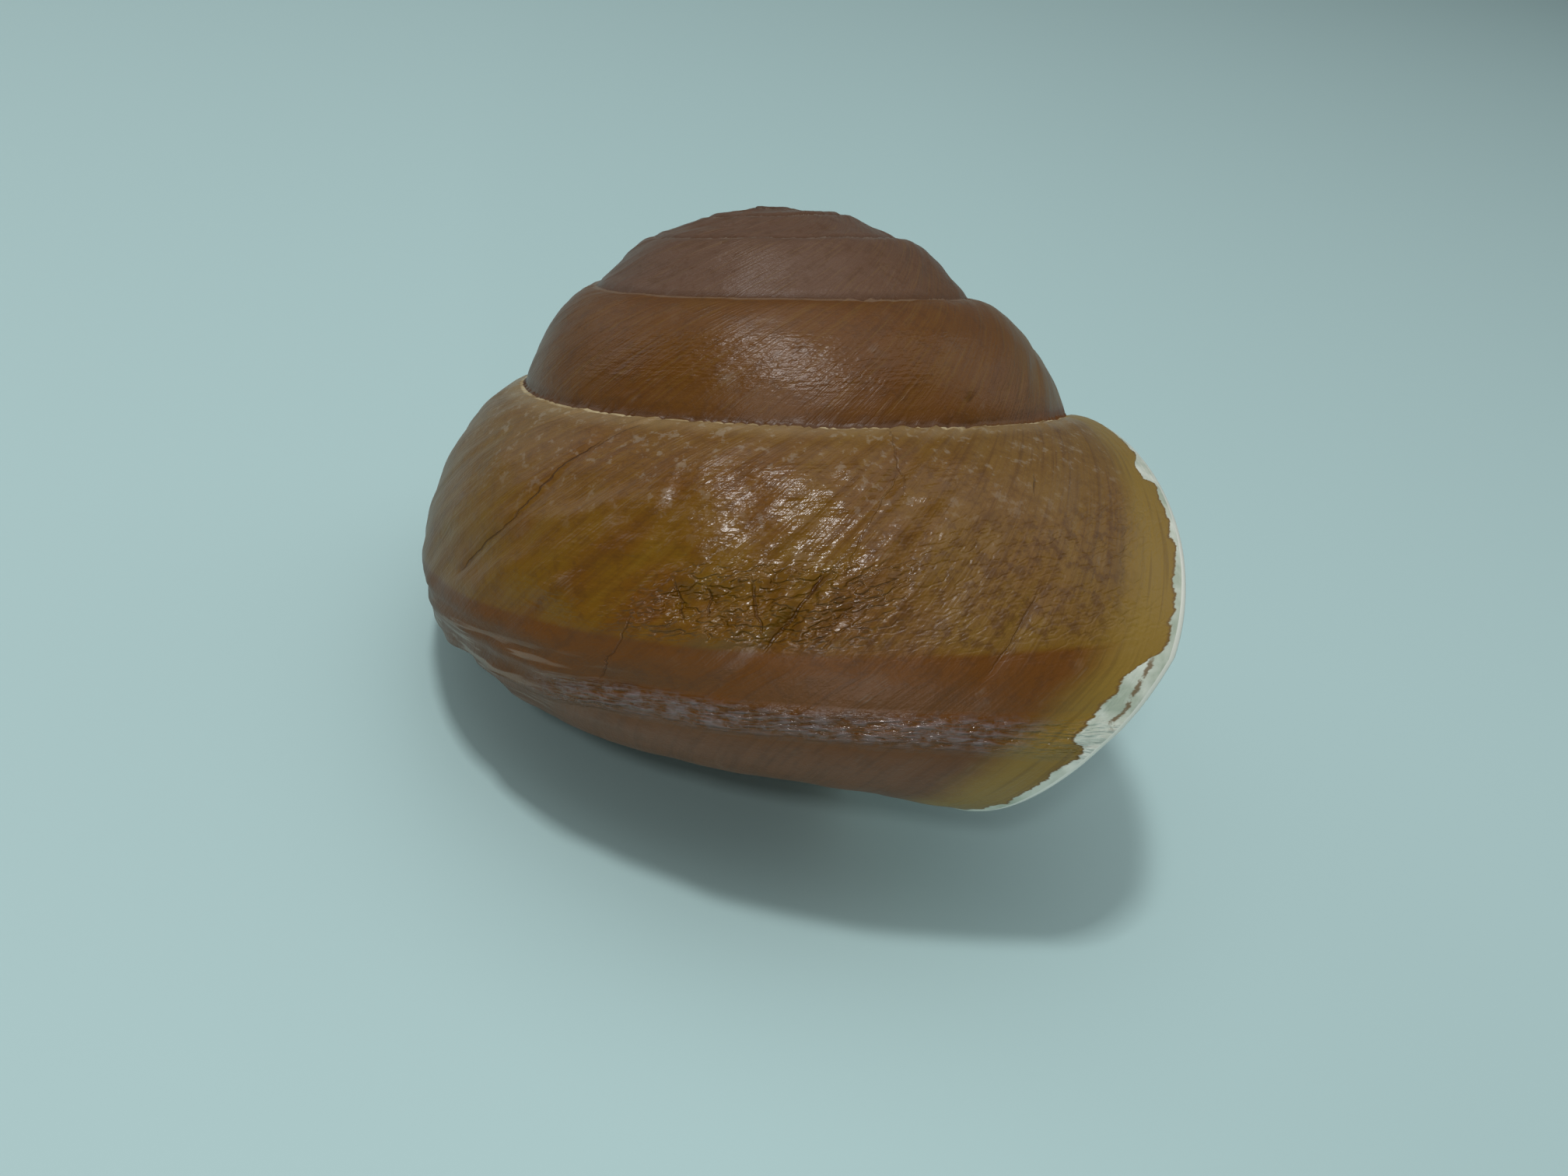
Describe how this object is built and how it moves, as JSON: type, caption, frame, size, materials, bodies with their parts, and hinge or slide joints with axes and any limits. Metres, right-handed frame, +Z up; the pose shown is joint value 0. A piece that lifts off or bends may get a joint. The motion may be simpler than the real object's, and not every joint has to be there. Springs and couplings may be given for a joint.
{
  "type": "land snail shell",
  "caption": "Empty left-handed land snail shell with a low domed spire, a blunt keel and a flared white lip, hollow from its aperture inwards.",
  "frame": {"origin": "centre of the base of the shell's bounding box, on the ground, in the pose in which it rests on its base and lip", "axes": "+Z up from the ground, the spire upwards; -Y towards the side that the picture shows; the lip is at +X"},
  "size_m": [0.042, 0.044, 0.0301],
  "materials": {
    "shell": "glossy brown outer skin, white lip, pinkish inside"
  },
  "bodies": {
    "root": {"shell": "shell"}
  },
  "joints": []
}
